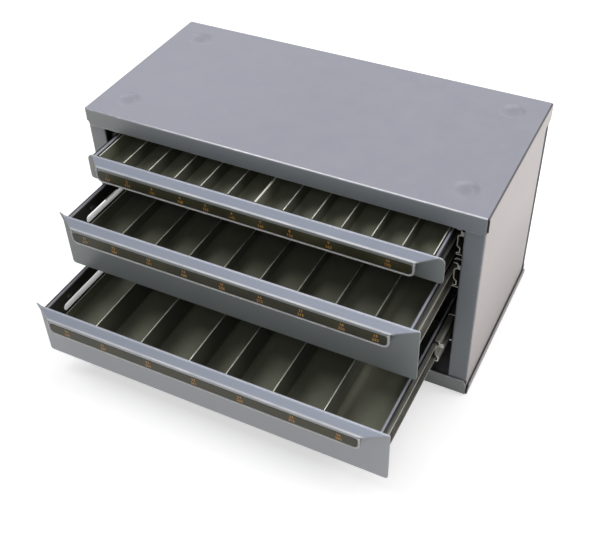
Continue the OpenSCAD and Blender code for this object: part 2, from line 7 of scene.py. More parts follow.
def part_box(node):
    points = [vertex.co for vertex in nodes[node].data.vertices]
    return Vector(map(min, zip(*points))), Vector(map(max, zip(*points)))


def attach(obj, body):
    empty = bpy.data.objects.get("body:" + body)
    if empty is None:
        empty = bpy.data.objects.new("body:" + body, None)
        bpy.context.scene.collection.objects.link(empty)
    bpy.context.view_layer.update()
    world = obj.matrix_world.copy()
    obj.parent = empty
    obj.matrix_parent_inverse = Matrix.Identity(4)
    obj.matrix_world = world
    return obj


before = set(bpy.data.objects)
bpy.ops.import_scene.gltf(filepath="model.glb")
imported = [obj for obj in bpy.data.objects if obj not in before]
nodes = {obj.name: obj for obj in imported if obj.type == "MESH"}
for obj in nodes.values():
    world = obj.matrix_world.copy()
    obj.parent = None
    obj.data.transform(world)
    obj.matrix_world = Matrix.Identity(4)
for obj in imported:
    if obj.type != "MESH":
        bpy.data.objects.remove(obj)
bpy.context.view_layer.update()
scene = bpy.context.scene
print("frame:", len(nodes), "nodes")

drawers = [
    {"body": "drawer_1", "inserts": ["drawer_1_insert_left", "drawer_1_insert_right"],
     "numberX": [-0.1538, -0.1311, -0.1034, -0.073, -0.0459, -0.0184, 0.0106, 0.0397, 0.0772, 0.1318]},
    {"body": "drawer_2", "inserts": ["drawer_2_insert"],
     "numberX": [-0.1508, -0.1181, -0.0796, -0.0424, -0.0032, 0.0348, 0.0744, 0.1127, 0.1435]},
    {"body": "drawer_3", "inserts": ["drawer_3_insert"],
     "numberX": [-0.1443, -0.1034, -0.0539, -0.0053, 0.0415, 0.0923, 0.1364]},
]
for drawer in drawers:
    for part in ("front", "tray", "label", "dividers"):
        drawer[part] = drawer["body"] + "_" + part


# Nodes of a shader or geometry tree

def addNode(tree, kind, inputs=None, **settings):
    node = tree.nodes.new(kind)
    for name, value in settings.items():
        setattr(node, name, value)
    for name, value in (inputs or {}).items():
        if hasattr(value, "is_output"):
            tree.links.new(value, node.inputs[name])
        else:
            node.inputs[name].default_value = value
    return node


def calc(tree, operation, *values):
    return addNode(tree, "ShaderNodeMath", dict(enumerate(values)), operation=operation).outputs[0]


def product(tree, first, *others):
    for other in others:
        first = calc(tree, "MULTIPLY", first, other)
    return first


def strongest(tree, first, *others):
    for other in others:
        first = calc(tree, "MAXIMUM", first, other)
    return first


def apart(tree, first, second):
    return calc(tree, "ABSOLUTE", calc(tree, "SUBTRACT", first, second))


def vectorCalc(tree, operation, *values):
    found = addNode(tree, "ShaderNodeVectorMath", dict(enumerate(values)), operation=operation).outputs
    return found["Value"] if operation in ("LENGTH", "DISTANCE", "DOT_PRODUCT") else found[0]


def splitVector(tree, vector):
    return addNode(tree, "ShaderNodeSeparateXYZ", {0: vector}).outputs


def joinVector(tree, x, y, z=0.0):
    return addNode(tree, "ShaderNodeCombineXYZ", {0: x, 1: y, 2: z}).outputs[0]


def shadeColour(tree, colour, shade):
    # A colour made lighter or darker by a factor
    return vectorCalc(tree, "MULTIPLY", colour, joinVector(tree, shade, shade, shade))


def blendColour(tree, mask, first, second):
    node = addNode(tree, "ShaderNodeMix", data_type="RGBA")
    for socket, value in ((node.inputs[0], mask), (node.inputs[6], first), (node.inputs[7], second)):
        if hasattr(value, "is_output"):
            tree.links.new(value, socket)
        else:
            socket.default_value = value
    return node.outputs[2]


def remap(tree, value, low, high, toLow, toHigh):
    node = addNode(tree, "ShaderNodeMapRange", {"Value": value, "From Min": low, "From Max": high,
                                                "To Min": toLow, "To Max": toHigh})
    return node.outputs["Result"]


def objectPoint(tree):
    return addNode(tree, "ShaderNodeTexCoord").outputs["Object"]


def splitPoint(tree):
    return splitVector(tree, objectPoint(tree))


def splitNormal(tree):
    return splitVector(tree, addNode(tree, "ShaderNodeNewGeometry").outputs["Normal"])


def noise(tree, point, scale, detail=4.0, rough=0.6):
    return addNode(tree, "ShaderNodeTexNoise", {"Vector": point, "Scale": scale, "Detail": detail,
                                                "Roughness": rough}).outputs["Fac"]


noiseSpan = (0.3, 0.7)  # nearly all of a noise lies between these


def stretchNoise(tree, value, toLow=0.0, toHigh=1.0):
    return remap(tree, value, *noiseSpan, toLow, toHigh)


def newGroup(name, inputs, outputs):
    group = bpy.data.node_groups.new(name, "ShaderNodeTree")
    for label, kind, value in inputs:
        socket = group.interface.new_socket(label, in_out="INPUT", socket_type=kind)
        socket.default_value = value
    for label, kind in outputs:
        group.interface.new_socket(label, in_out="OUTPUT", socket_type=kind)
    return group, group.nodes.new("NodeGroupInput").outputs, group.nodes.new("NodeGroupOutput").inputs


def useGroup(tree, group, **inputs):
    node = tree.nodes.new("ShaderNodeGroup")
    node.node_tree = group
    for name, value in inputs.items():
        if hasattr(value, "is_output"):
            tree.links.new(value, node.inputs[name])
        else:
            node.inputs[name].default_value = value
    return node.outputs


# Groups that several finishes share

wearShape = {"detail": 5.0, "rough": 0.65, "broken": 2.2, "from": 0.35, "to": 0.75}


def makeEdgeWear(shape=wearShape):
    # Rubbed edges of a piece: where two sides of its box are both close
    group, given, result = newGroup("edgeWear", [
        ("Low", "NodeSocketVector", (0, 0, 0)), ("High", "NodeSocketVector", (1, 1, 1)),
        ("Reach", "NodeSocketFloat", 0.002), ("Grain", "NodeSocketFloat", 200.0),
        ("Amount", "NodeSocketFloat", 0.5)], [("Mask", "NodeSocketFloat")])
    point = objectPoint(group)
    toLow = vectorCalc(group, "ABSOLUTE", vectorCalc(group, "SUBTRACT", point, given["Low"]))
    toHigh = vectorCalc(group, "ABSOLUTE", vectorCalc(group, "SUBTRACT", given["High"], point))
    near = splitVector(group, vectorCalc(group, "MINIMUM", toLow, toHigh))
    pairLow = calc(group, "MINIMUM", near[0], near[1])
    pairHigh = calc(group, "MAXIMUM", near[0], near[1])
    second = calc(group, "MAXIMUM", pairLow, calc(group, "MINIMUM", pairHigh, near[2]))
    closeness = calc(group, "SUBTRACT", 1.0, calc(group, "DIVIDE", second, given["Reach"]))
    grain = noise(group, point, given["Grain"], shape["detail"], shape["rough"])
    broken = calc(group, "MULTIPLY", calc(group, "SUBTRACT", grain, 0.5), shape["broken"])
    mask = remap(group, calc(group, "ADD", closeness, broken), shape["from"], shape["to"], 0.0, 1.0)
    group.links.new(product(group, mask, given["Amount"]), result["Mask"])
    return group


dustShape = {"levelFrom": 0.3, "levelTo": 0.95, "detail": 6.0, "rough": 0.7, "thin": 0.35, "thick": 0.75}


def makeDust(shape=dustShape):
    # Fine dust that settles on faces that look up
    group, given, result = newGroup("settledDust", [
        ("Amount", "NodeSocketFloat", 0.2), ("Grain", "NodeSocketFloat", 60.0)],
        [("Mask", "NodeSocketFloat")])
    level = remap(group, splitNormal(group)[2], shape["levelFrom"], shape["levelTo"], 0.0, 1.0)
    cloud = noise(group, objectPoint(group), given["Grain"], shape["detail"], shape["rough"])
    cloud = remap(group, cloud, shape["thin"], shape["thick"], 0.0, 1.0)
    group.links.new(product(group, level, cloud, given["Amount"]), result["Mask"])
    return group


coatShape = {
    "slow": 7.0, "fine": 900.0, "fineShare": 0.7, "peel": 420.0, "slowRough": 0.16,
    "scratch": (40.0, 900.0, 700.0), "scratchFrom": 0.66, "scratchTo": 0.72, "scratchRough": 0.05,
    "scratchDepth": 0.12,
}


def makeEnamel(shape=coatShape):
    # Sprayed enamel: slow shade changes, fine speckle, orange peel and hairline scratches
    group, given, result = newGroup("sprayedEnamel", [
        ("Colour", "NodeSocketColor", (0.4, 0.4, 0.4, 1)), ("Mottle", "NodeSocketFloat", 0.05),
        ("Gloss", "NodeSocketFloat", 0.4)],
        [("Colour", "NodeSocketColor"), ("Roughness", "NodeSocketFloat"), ("Height", "NodeSocketFloat")])
    point = objectPoint(group)
    slow = calc(group, "SUBTRACT", noise(group, point, shape["slow"], 3.0, 0.5), 0.5)
    fine = calc(group, "SUBTRACT", noise(group, point, shape["fine"], 2.0, 0.6), 0.5)
    mottle = calc(group, "ADD", slow, calc(group, "MULTIPLY", fine, shape["fineShare"]))
    shade = calc(group, "ADD", 1.0, calc(group, "MULTIPLY", mottle, given["Mottle"]))
    scratch = noise(group, vectorCalc(group, "MULTIPLY", point, shape["scratch"]), 1.0, 2.0, 0.5)
    scratch = remap(group, scratch, shape["scratchFrom"], shape["scratchTo"], 0.0, 1.0)
    rough = calc(group, "ADD", given["Gloss"], calc(group, "MULTIPLY", slow, shape["slowRough"]))
    rough = calc(group, "ADD", rough, calc(group, "MULTIPLY", scratch, shape["scratchRough"]))
    height = calc(group, "SUBTRACT", noise(group, point, shape["peel"], 2.0, 0.4),
                  calc(group, "MULTIPLY", scratch, shape["scratchDepth"]))
    group.links.new(shadeColour(group, given["Colour"], shade), result["Colour"])
    group.links.new(rough, result["Roughness"])
    group.links.new(height, result["Height"])
    return group


def makeGrain():
    # Drawn or brushed metal: streaks along one axis, and a slow stain
    group, given, result = newGroup("drawnGrain", [
        ("Stretch", "NodeSocketVector", (900.0, 12.0, 900.0)), ("Stain", "NodeSocketFloat", 30.0)],
        [("Streak", "NodeSocketFloat"), ("Stain", "NodeSocketFloat")])
    point = objectPoint(group)
    streak = noise(group, vectorCalc(group, "MULTIPLY", point, given["Stretch"]), 1.0)
    group.links.new(streak, result["Streak"])
    group.links.new(noise(group, point, given["Stain"]), result["Stain"])
    return group


facingShape = {"upSoft": 0.25, "turnFrom": 0.6, "turnTo": 0.9}


def makeFacing(shape=facingShape):
    # Which way a face looks: up, to the side, or out of the end of a piece
    group, given, result = newGroup("facing", [("UpFrom", "NodeSocketFloat", 0.4)], [
        ("Up", "NodeSocketFloat"), ("Side", "NodeSocketFloat"), ("End", "NodeSocketFloat")])
    normal = splitNormal(group)
    upTo = calc(group, "ADD", given["UpFrom"], shape["upSoft"])
    group.links.new(remap(group, normal[2], given["UpFrom"], upTo, 0.0, 1.0), result["Up"])
    for axis, label in ((0, "Side"), (1, "End")):
        turned = calc(group, "ABSOLUTE", normal[axis])
        group.links.new(remap(group, turned, shape["turnFrom"], shape["turnTo"], 0.0, 1.0), result[label])
    return group


creaseShape = {"grain": 35.0, "paintedLightFrom": 0.3, "paintedLightTo": 0.6, "paintedLightLeast": 0.55, "fadeLeast": 0.12,
               "full": 0.6}


def makeCrease(shape=creaseShape):
    # A painted highlight line along X at a given Y and Z, broken up by noise, such as the shine along a
    # crease
    group, given, result = newGroup("creaseHighlight", [
        ("Y", "NodeSocketFloat", 0.0), ("Z", "NodeSocketFloat", 0.0), ("Reach", "NodeSocketFloat", 0.001),
        ("FadeFrom", "NodeSocketFloat", -1.0), ("FadeTo", "NodeSocketFloat", -0.9)],
        [("Mask", "NodeSocketFloat")])
    x, y, z = splitPoint(group)
    away = vectorCalc(group, "LENGTH", joinVector(
        group, calc(group, "SUBTRACT", y, given["Y"]), calc(group, "SUBTRACT", z, given["Z"])))
    near = calc(group, "SUBTRACT", 1.0, calc(group, "DIVIDE", away, given["Reach"]))
    # Noise breaks the painted highlight into patches
    wearAndShine = noise(group, objectPoint(group), shape["grain"])
    wearAndShine = remap(group, wearAndShine, shape["paintedLightFrom"], shape["paintedLightTo"], shape["paintedLightLeast"], 1.0)
    fadeAndLight = remap(group, x, given["FadeFrom"], given["FadeTo"], shape["fadeLeast"], 1.0)
    line = remap(group, near, 0.0, shape["full"], 0.0, 1.0)
    group.links.new(product(group, line, wearAndShine, fadeAndLight), result["Mask"])
    return group


edgeWear = makeEdgeWear()
facing = makeFacing()
creaseHighlight = makeCrease()
settledDust = makeDust()
sprayedEnamel = makeEnamel()
drawnGrain = makeGrain()


# Materials

def newMaterial(name):
    material = bpy.data.materials.new(name)
    material.use_nodes = True
    tree = material.node_tree
    tree.nodes.clear()
    shader = tree.nodes.new("ShaderNodeBsdfPrincipled")
    addNode(tree, "ShaderNodeOutputMaterial", {"Surface": shader.outputs[0]})
    return material, tree, shader


def setShader(tree, shader, **inputs):
    for name, value in inputs.items():
        socket = shader.inputs[name.replace("_", " ")]
        if hasattr(value, "is_output"):
            tree.links.new(value, socket)
        else:
            socket.default_value = value


def paintOver(material, mask, colour, plainMetal=False):
    # Lays a colour over a finished material, where the mask is
    tree = material.node_tree
    shader = next(node for node in tree.nodes if node.type == "BSDF_PRINCIPLED")
    coat, metal = (shader.inputs[name].links[0].from_socket for name in ("Base Color", "Metallic"))
    setShader(tree, shader, Base_Color=blendColour(tree, mask, coat, colour))
    if plainMetal:
        setShader(tree, shader, Metallic=calc(tree, "MULTIPLY", metal, calc(tree, "SUBTRACT", 1.0, mask)))


def addBump(tree, shader, height, distance):
    bump = addNode(tree, "ShaderNodeBump", {"Height": height, "Distance": distance})
    tree.links.new(bump.outputs[0], shader.inputs["Normal"])


def finish(name, material):
    nodes[name].data.materials.clear()
    nodes[name].data.materials.append(material)


# Enamelled sheet steel

# Colours laid over the enamel: bare metal and dust are real, the near-black ones are painted shade, the
# shine is a painted highlight, and the last pale grey is painted light on left ends
enamelLook = {
    "bare": (0.66, 0.66, 0.63, 1), "dust": (0.44, 0.43, 0.41, 1), "paintedShade": (0.035, 0.035, 0.033, 1),
    "shine": (0.93, 0.93, 0.97, 1), "gapShade": (0.006, 0.006, 0.006, 1), "litLeftEnd": (0.44, 0.43, 0.41, 1),
    "upFrom": 0.4, "mottle": 0.11, "gloss": 0.36, "peelDepth": 0.00006,
    "wearReach": 0.0011, "wearGrain": 260.0, "wearAmount": 0.5, "wornMetal": 0.8,
    "dustAmount": 0.18, "dustGrain": 45.0, "dustRough": 0.25,
    "halfWidth": 0.17, "brush": (10.0, 900.0, 900.0), "brushStain": 30.0,
    "bendFrom": 0.01, "bendTo": 0.10, "bendGrain": 70.0, "bendBreakup": (0.3, 0.6, 0.5, 1.0),
}
# One blue-grey enamel in lit and shaded copies: the paler side and upper colours are painted light, falling
# from the right and from above
shellPaint = {"face": (0.285, 0.315, 0.345, 1), "upper": (0.300, 0.307, 0.368, 1),
              "side": (0.512, 0.452, 0.444, 1)}
panPaint = {"face": (0.275, 0.285, 0.285, 1), "upper": (0.30, 0.30, 0.32, 1),
            "side": (0.33, 0.315, 0.305, 1)}
frontPaint = {"face": (0.30, 0.33, 0.33, 1), "upper": (0.35, 0.385, 0.475, 1),
              "side": (0.34, 0.34, 0.36, 1)}
# Painted shade: the top drawer's upper faces a little darker
topFrontPaint = dict(frontPaint, upper=(0.325, 0.36, 0.45, 1))
# Painted light: the low drawer's front much lighter
lowFrontPaint = {"face": (0.47, 0.487, 0.515, 1), "upper": (0.36, 0.40, 0.485, 1),
                 "side": (0.38, 0.38, 0.40, 1)}
# Painted shade: tray insides near black, with the flange tops in the lit enamel
trayPaint = {"face": (0.022, 0.024, 0.022, 1), "upper": (0.30, 0.31, 0.36, 1),
             "side": (0.022, 0.024, 0.022, 1)}
# Painted shade: parts inside the cabinet near black
innerPaint = dict.fromkeys(("face", "upper", "side"), (0.03, 0.03, 0.03, 1))


def enamelMaterial(name, paint, low, high, highlightLines=(), shadeMarks=(), gapShades=(), bendShine=0.0, drift=0.0,
                   brushed=0.0, fadeAndLight=None, look=enamelLook):
    material, tree, shader = newMaterial(name)
    way = useGroup(tree, facing, UpFrom=look["upFrom"])
    along = splitPoint(tree)[0]
    face, upper = paint["face"], paint["upper"]
    if fadeAndLight:
        # Painted light: the face is lighter towards its left end
        fromX, toX, amount = fadeAndLight
        face = blendColour(tree, remap(tree, along, fromX, toX, amount, 0.0), face, look["litLeftEnd"])
    if drift or brushed:
        # Painted light: upper faces grow lighter or darker slowly along X, with faint marks of wiping
        grain = useGroup(tree, drawnGrain, Stretch=look["brush"], Stain=look["brushStain"])["Streak"]
        shade = calc(tree, "ADD", calc(tree, "MULTIPLY", along, drift / look["halfWidth"]),
                     calc(tree, "MULTIPLY", calc(tree, "SUBTRACT", grain, 0.5), brushed))
        upper = shadeColour(tree, upper[:3], calc(tree, "ADD", 1.0, shade))
    # Painted light and shade: upper and side faces take their own lighter or darker copies of the enamel
    tint = blendColour(tree, way["Up"], face, upper)
    tint = blendColour(tree, way["Side"], tint, paint["side"])
    coat = useGroup(tree, sprayedEnamel, Colour=tint, Mottle=look["mottle"], Gloss=look["gloss"])
    worn = useGroup(tree, edgeWear, Low=low, High=high, Reach=look["wearReach"], Grain=look["wearGrain"],
                    Amount=look["wearAmount"])["Mask"]
    dust = useGroup(tree, settledDust, Amount=look["dustAmount"], Grain=look["dustGrain"])["Mask"]
    colour = blendColour(tree, dust, coat["Colour"], look["dust"])
    colour = blendColour(tree, worn, colour, look["bare"])
    # Painted highlights along the given lines
    for y, z, reach, amount, fadeFrom, fadeTo in highlightLines:
        wearAndShine = useGroup(tree, creaseHighlight, Y=y, Z=z, Reach=reach, FadeFrom=fadeFrom, FadeTo=fadeTo)["Mask"]
        colour = blendColour(tree, product(tree, wearAndShine, amount), colour, look["shine"])
    if bendShine:
        # Painted highlight on upright bends, where the normal points between X and Y
        across = product(tree, way["Side"], way["End"])
        wearAndShine = remap(tree, noise(tree, objectPoint(tree), look["bendGrain"]), *look["bendBreakup"])
        bend = product(tree, remap(tree, across, look["bendFrom"], look["bendTo"], 0.0, bendShine), wearAndShine)
        colour = blendColour(tree, bend, colour, look["shine"])
    # Painted shade, laid on as a near-black colour
    for shadeMark in shadeMarks:
        colour = blendColour(tree, shadeMark(tree), colour, look["paintedShade"])
    # Painted shade, near black, where gaps, slits and edges show only shade
    for gapShade in gapShades:
        colour = blendColour(tree, gapShade(tree), colour, look["gapShade"])
    rough = calc(tree, "ADD", coat["Roughness"], calc(tree, "MULTIPLY", dust, look["dustRough"]))
    setShader(tree, shader, Base_Color=colour, Roughness=rough,
              Metallic=product(tree, worn, look["wornMetal"]))
    addBump(tree, shader, coat["Height"], look["peelDepth"])
    return material


# Cabinet: top cover, side panels, bottom pan and back

coverLow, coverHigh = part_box("top_cover")
panLow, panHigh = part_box("bottom_pan")

# Painted light on the top cover: a highlight along the front top edge, shade in the side bends, a top
# darker to the right, and a face lighter at its left end
coverLook = {
    "creaseIn": 0.0006, "creaseDown": 0.0003, "creaseReach": 0.0010, "creaseShine": 0.9,
    "creaseFade": (-0.17, -0.03), "seamIn": 0.0008, "seamDown": 0.0004, "seamReach": 0.0016,
    "seamShade": 0.85, "plate": 0.0022, "drift": -0.045, "fadeAndLight": (-0.20, -0.10, 0.6),
}
# Painted shade in the pressed recesses
recessLook = {"inset": 0.031, "shift": 0.002, "clear": 0.0105, "full": 0.003, "paintedShade": 0.22, "grain": 120.0,
              "patchy": (0.35, 0.65, 0.5, 1.0)}
slitLook = {"width": 0.0045, "length": 0.0065, "soft": 0.0005, "skin": 0.0012, "skinSoft": 0.0003,
            "end": 0.0001}
# Painted shade on the side panels along the rear bend, at the foot and darker towards the bottom; painted
# highlight on the front bend; painted light on the left face's end
panelLook = {
    "step": 0.0066,  # from the rear bend to the rear edge of a side panel
    "rear": 0.0030, "rearSoft": 0.0010, "lapSoft": 0.0002, "footFrom": 0.0096, "footTo": 0.0104,
    "cornerFrom": 0.0015, "cornerTo": 0.0020, "dull": 0.36, "dullFrom": 0.01, "dullTo": 0.15,
    "bendIn": 0.0030, "bendSoft": 0.0005, "skin": 0.0018, "skinSoft": 0.0003,
    "behindFrom": 0.0012, "behindTo": 0.0016, "bendShine": 0.8, "fadeAndLight": (-0.20, -0.165, 0.5),
}
panFloor = 0.0011  # just below the upper face of the bottom pan's sheet


def sideSeam(look=coverLook):
    # Painted shade: a dark line in the bend along both sides of the top cover
    def mask(tree):
        x, _, z = splitPoint(tree)
        across = apart(tree, calc(tree, "ABSOLUTE", x), coverHigh.x - look["seamIn"])
        away = calc(tree, "ADD", across, apart(tree, z, coverHigh.z - look["seamDown"]))
        return remap(tree, calc(tree, "DIVIDE", away, look["seamReach"]), 0.5, 1.0, look["seamShade"], 0.0)
    return mask


def recessGrime(look=recessLook):
    # Painted shade towards the back of each pressed recess
    def mask(tree):
        x, y, _ = splitPoint(tree)
        across = calc(tree, "SUBTRACT", calc(tree, "ABSOLUTE", x), coverHigh.x - look["inset"])
        along = calc(tree, "SUBTRACT", apart(tree, y, look["shift"]), coverHigh.y - look["inset"])
        reach = vectorCalc(tree, "LENGTH", joinVector(tree, across, along))
        disc = remap(tree, reach, look["full"], look["clear"], 1.0, 0.0)
        broken = remap(tree, noise(tree, objectPoint(tree), look["grain"]), *look["patchy"])
        return product(tree, disc, broken, look["paintedShade"])
    return mask


def cornerSlit(low, high, fromZ, toZ, look=slitLook):
    # Painted shade: near black where the open slits at the corners of the top cover and the bottom pan are
    # seen through
    def mask(tree):
        x, y, z = splitPoint(tree)
        inX, halfY = high.x - look["width"], (high.y - low.y) / 2
        inY, skinY = halfY - look["length"], halfY - look["skin"]
        along = apart(tree, y, (low.y + high.y) / 2)
        return product(
            tree, remap(tree, calc(tree, "ABSOLUTE", x), inX, inX + look["soft"], 0.0, 1.0),
            remap(tree, along, inY, inY + look["soft"], 0.0, 1.0),
            remap(tree, along, skinY, skinY + look["skinSoft"], 1.0, 0.0),
            remap(tree, z, fromZ - look["end"], fromZ, 0.0, 1.0),
            remap(tree, z, toZ, toZ + look["end"], 1.0, 0.0),
            calc(tree, "SUBTRACT", 1.0, useGroup(tree, facing)["Side"]))
    return mask


def panelGaps(low, high, look=panelLook):
    # Painted shade on a side panel: under the cover's lap, and on the inside of the opening
    outer = max(abs(low.x), abs(high.x))
    bend, skin = outer - look["bendIn"], outer - look["skin"]

    def mask(tree):
        x, y, z = splitPoint(tree)
        across = calc(tree, "ABSOLUTE", x)
        side = useGroup(tree, facing)["Side"]
        lap = remap(tree, z, coverLow.z - look["lapSoft"], coverLow.z + look["lapSoft"], 0.0, 1.0)
        edge = remap(tree, across, bend, bend + look["bendSoft"], 1.0, 0.0)
        behind = remap(tree, y, low.y + look["behindFrom"], low.y + look["behindTo"], 0.0, 1.0)
        inside = remap(tree, across, skin, skin + look["skinSoft"], 1.0, 0.0)
        return strongest(tree, product(tree, lap, side), product(tree, edge, side),
                         product(tree, behind, inside))
    return mask


def panelGrime(low, high, look=panelLook):
    # Painted shade along a side panel's rear bend, where it goes down into the bottom pan, and darker
    # towards its foot
    rear = high.y - look["step"] - look["rear"]

    def mask(tree):
        _, y, z = splitPoint(tree)
        bend = remap(tree, y, rear, rear + look["rearSoft"], 0.0, 1.0)
        foot = remap(tree, z, panLow.z + look["footFrom"], panLow.z + look["footTo"], 1.0, 0.0)
        front = remap(tree, y, low.y + look["cornerFrom"], low.y + look["cornerTo"], 1.0, 0.0)
        below = remap(tree, z, panHigh.z - look["lapSoft"], panHigh.z + look["lapSoft"], 1.0, 0.0)
        dull = remap(tree, z, look["dullFrom"], look["dullTo"], look["dull"], 0.0)
        return strongest(tree, bend, foot, product(tree, front, below), dull)
    return mask


# Painted shade: the slide supports inside the cabinet are near black
for name in ("slide_support_left", "slide_support_right"):
    finish(name, enamelMaterial(name + "Enamel", innerPaint, *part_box(name)))
finish("bottom_pan", enamelMaterial("panEnamel", panPaint, panLow, panHigh,
                                    gapShades=[cornerSlit(panLow, panHigh, panFloor, panHigh.z)]))
finish("back_panel", enamelMaterial("backEnamel", shellPaint, *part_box("back_panel")))
for name in ("side_panel_left", "side_panel_right"):
    low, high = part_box(name)
    finish(name, enamelMaterial(name + "Enamel", shellPaint, low, high, shadeMarks=[panelGrime(low, high)],
                                gapShades=[panelGaps(low, high)], bendShine=panelLook["bendShine"],
                                fadeAndLight=panelLook["fadeAndLight"]))
# Painted highlight along the cover's front top edge, fading out to the left
frontCrease = (coverLow.y + coverLook["creaseIn"], coverHigh.z - coverLook["creaseDown"],
               coverLook["creaseReach"], coverLook["creaseShine"], *coverLook["creaseFade"])
finish("top_cover", enamelMaterial(
    "coverEnamel", shellPaint, coverLow, coverHigh, highlightLines=[frontCrease], shadeMarks=[sideSeam(), recessGrime()],
    gapShades=[cornerSlit(coverLow, coverHigh, coverLow.z, coverHigh.z - coverLook["plate"])],
    drift=coverLook["drift"], fadeAndLight=coverLook["fadeAndLight"]))
print("cabinet done")

# Drawer fronts and trays

# Painted light on the drawer fronts: faces lighter at the left end, upper faces changing along X,
# highlights along the flap and lip creases, and on the label bead
frontLook = {
    "drawer_1": {"paint": topFrontPaint, "drift": 0.05, "fadeAndLight": (-0.172, -0.155, 0.7)},
    "drawer_2": {"paint": frontPaint, "drift": 0.13, "fadeAndLight": (-0.172, -0.13, 0.15)},
    "drawer_3": {"paint": lowFrontPaint, "drift": 0.13, "fadeAndLight": (-0.172, -0.13, 0.15)},
    "brushed": 0.22,
    "flapCrease": {"in": 0.0014, "down": 0.0061, "reach": 0.0013, "shine": 1.0, "fadeAndLight": (-0.34, 0.02)},
    "lipCrease": {"in": 0.0083, "down": 0.0002, "reach": 0.0011, "shine": 0.35, "fadeAndLight": (-0.30, 0.05)},
    "beadFrom": 0.00033, "beadTo": 0.00041, "beadGrain": 160.0,
    "beadDull": (0.50, 0.50, 0.49, 1), "beadBright": (0.84, 0.84, 0.82, 1),
}
trayLook = {
    # Painted shade on the deep trays' left flanges
    "paintedLightFrom": -0.16, "paintedLightTo": -0.12, "paintedLightGrain": 60.0, "paintedLightLeast": 0.30, "paintedLightMost": 0.55,
    # Painted shade along the outer edges of the flanges
    "edge": 0.0018, "edgeSoft": 0.0005,
    "slotDrop": 0.0214,  # lower edge of the side slots below the drawer's top
}
# Painted light: the slot edges and the member's foot near white
slotLook = {"foot": 0.0007, "reach": 0.0012, "soft": 0.0003, "upFrom": 0.2, "grain": 700.0,
            "dull": (0.864, 0.864, 0.855, 1), "bright": (0.96, 0.96, 0.95, 1)}


def leftFlangeDirt(tree, look=trayLook):
    # Painted shade: the deep trays' left flanges are darker, in uneven patches
    unevenShade = noise(tree, objectPoint(tree), look["paintedLightGrain"])
    unevenShade = stretchNoise(tree, unevenShade, look["paintedLightLeast"], look["paintedLightMost"])
    return product(tree, remap(tree, splitPoint(tree)[0], look["paintedLightFrom"], look["paintedLightTo"], 1.0, 0.0), unevenShade)


def outerEdgeDirt(tree, look=trayLook):
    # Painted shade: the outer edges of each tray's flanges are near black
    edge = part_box("drawer_1_tray")[1].x - look["edge"]
    across = calc(tree, "ABSOLUTE", splitPoint(tree)[0])
    return remap(tree, across, edge, edge + look["edgeSoft"], 0.0, 1.0)


def shearSlot(material, z, look=slotLook):
    # Painted light: the sheared lower edge of a side slot at height z, and the member's foot below it, near
    # white where they look up
    tree = material.node_tree
    away = apart(tree, splitPoint(tree)[2], z - look["foot"])
    near = remap(tree, away, look["reach"], look["reach"] + look["soft"], 1.0, 0.0)
    edge = product(tree, near, useGroup(tree, facing, UpFrom=look["upFrom"])["Up"])
    fine = remap(tree, noise(tree, objectPoint(tree), look["grain"], 3.0, 0.6), 0.35, 0.65, 0.0, 1.0)
    paintOver(material, edge, blendColour(tree, fine, look["dull"], look["bright"]), plainMetal=True)


def bareBead(material, y, look=frontLook):
    # Painted highlight: the bead round the label stands out from the flap, whose foremost point is at y,
    # and is painted pale
    tree = material.node_tree
    bead = remap(tree, splitPoint(tree)[1], y + look["beadFrom"], y + look["beadTo"], 1.0, 0.0)
    wearAndShine = noise(tree, objectPoint(tree), look["beadGrain"])
    paintOver(material, bead, blendColour(tree, wearAndShine, look["beadDull"], look["beadBright"]))


for drawer in drawers:
    low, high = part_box(drawer["front"])
    trayLow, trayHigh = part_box(drawer["tray"])
    deep = drawer["body"] != "drawer_1"
    own = frontLook[drawer["body"]]
    # Painted highlights along the flap and lip creases
    creases = [(low.y + crease["in"], trayHigh.z - crease["down"], crease["reach"], crease["shine"],
                *crease["fadeAndLight"]) for crease in (frontLook["flapCrease"], frontLook["lipCrease"])]
    frontEnamel = enamelMaterial(drawer["front"] + "Enamel", own["paint"], low, high, highlightLines=creases,
                                 drift=own["drift"], brushed=frontLook["brushed"], fadeAndLight=own["fadeAndLight"])
    bareBead(frontEnamel, low.y)
    finish(drawer["front"], frontEnamel)
    trayEnamel = enamelMaterial(drawer["tray"] + "Enamel", trayPaint, trayLow, trayHigh,
                                shadeMarks=[leftFlangeDirt] if deep else [], gapShades=[outerEdgeDirt])
    if deep:
        shearSlot(trayEnamel, trayHigh.z - trayLook["slotDrop"])
    finish(drawer["tray"], trayEnamel)
print("fronts and trays done")

# Zinc-plated slides, stamped cages and rivets

zincLook = {
    "bright": (0.74, 0.73, 0.68, 1), "dull": (0.13, 0.128, 0.108, 1), "dark": (0.06, 0.058, 0.047, 1),
    "grease": (0.03, 0.026, 0.018, 1), "stretch": (700.0, 9.0, 700.0), "stain": 35.0,
    "tipFrom": 0.0002, "tipTo": 0.0005, "metal": 0.35, "cutMetal": 0.5, "rough": (0.30, 0.48),
    "depth": 0.00003,
}
# Painted light and shade: lighter and near-black copies of the same zinc plate
litZinc = dict(zincLook, dull=(0.24, 0.235, 0.205, 1), dark=(0.12, 0.118, 0.10, 1))
shadedZinc = dict(zincLook, dull=(0.045, 0.044, 0.037, 1), dark=(0.022, 0.022, 0.018, 1))
slideLook = {"greasy": 0.25, "runnerGreasy": 0.15, "cageGreasy": 0.7, "leftEndShine": 0.15, "tipShine": 0.4}


